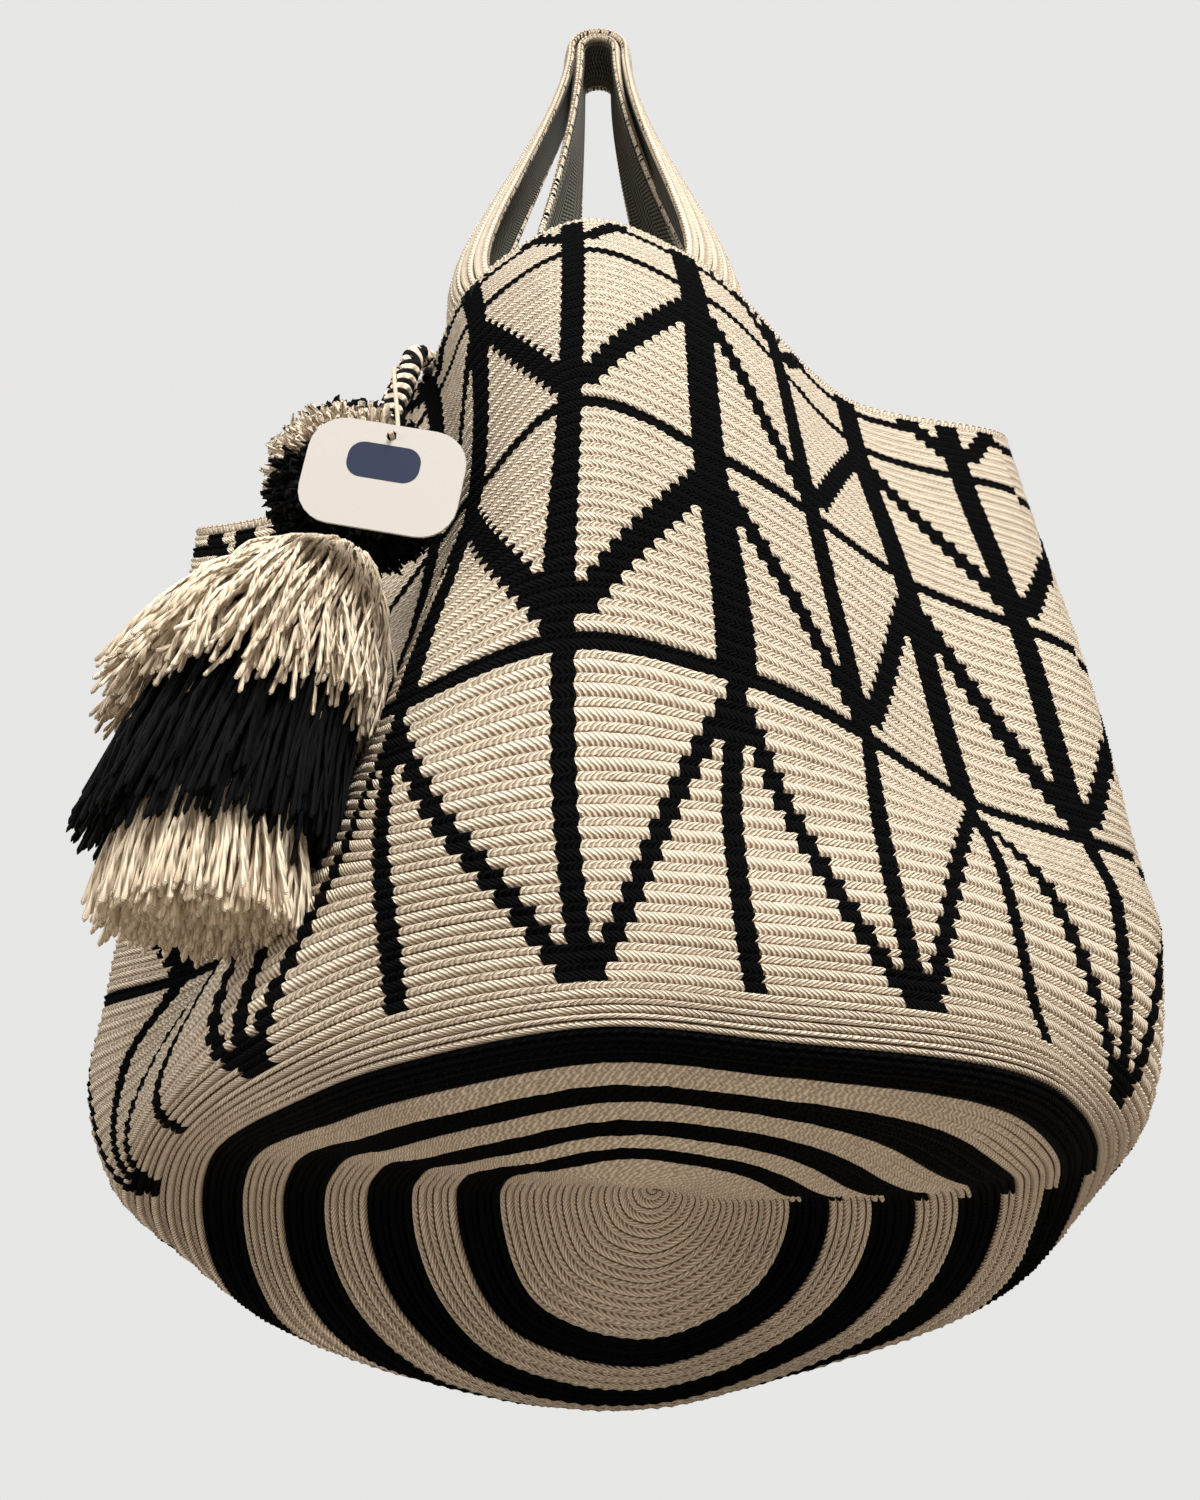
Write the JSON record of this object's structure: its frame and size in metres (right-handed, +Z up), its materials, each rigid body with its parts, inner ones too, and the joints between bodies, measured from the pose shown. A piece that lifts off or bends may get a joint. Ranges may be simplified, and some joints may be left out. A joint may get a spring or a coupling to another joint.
{
  "type": "wayuu mochila bag",
  "caption": "Crocheted tote with a geometric cream and black pattern, hung by two lined handles, with a tiered tassel and a plain swing tag.",
  "frame": {"origin": "top of the hook or peg that the two handles hang on, at the near edge of the handles", "axes": "+Z up as the bag hangs, +Y towards the wall behind it, +X to the right seen from the front"},
  "size_m": [0.322, 0.2166, 0.6105],
  "materials": {
    "cream_crochet": "matte crocheted cotton, cream with black pattern",
    "olive_webbing": "matte woven webbing",
    "black_yarn": "matte cotton yarn",
    "cream_yarn": "matte cotton yarn",
    "twisted_cord": "matte two-colour twisted cord",
    "card": "uncoated card"
  },
  "bodies": {
    "bag": {"bag_net": "cream_crochet", "front_handle": "cream_crochet", "front_handle_lining": "olive_webbing", "rear_handle": "cream_crochet", "rear_handle_lining": "olive_webbing", "front_handle_seam_left": "black_yarn", "front_handle_seam_right": "black_yarn", "rear_handle_seam_left": "black_yarn", "rear_handle_seam_right": "black_yarn"},
    "tassel": {"cord_knot": "twisted_cord", "tassel_cord": "twisted_cord", "pompom": "black_yarn", "skirt_upper": "cream_yarn", "skirt_middle": "black_yarn", "skirt_lower": "cream_yarn"},
    "tag": {"hang_tag": "card", "tag_string": "cream_yarn"}
  },
  "joints": [
    {"name": "tassel_swing", "type": "hinge", "parent": "bag", "child": "tassel", "pos_m": [-0.0648, -0.0499, -0.2752], "axis": [-0.5, 0.866, 0], "range_deg": [0, 60]},
    {"name": "tag_swing", "type": "hinge", "parent": "tassel", "child": "tag", "pos_m": [-0.0663, -0.0659, -0.3021], "axis": [-1, 0, 0], "range_deg": [0, 60]}
  ]
}
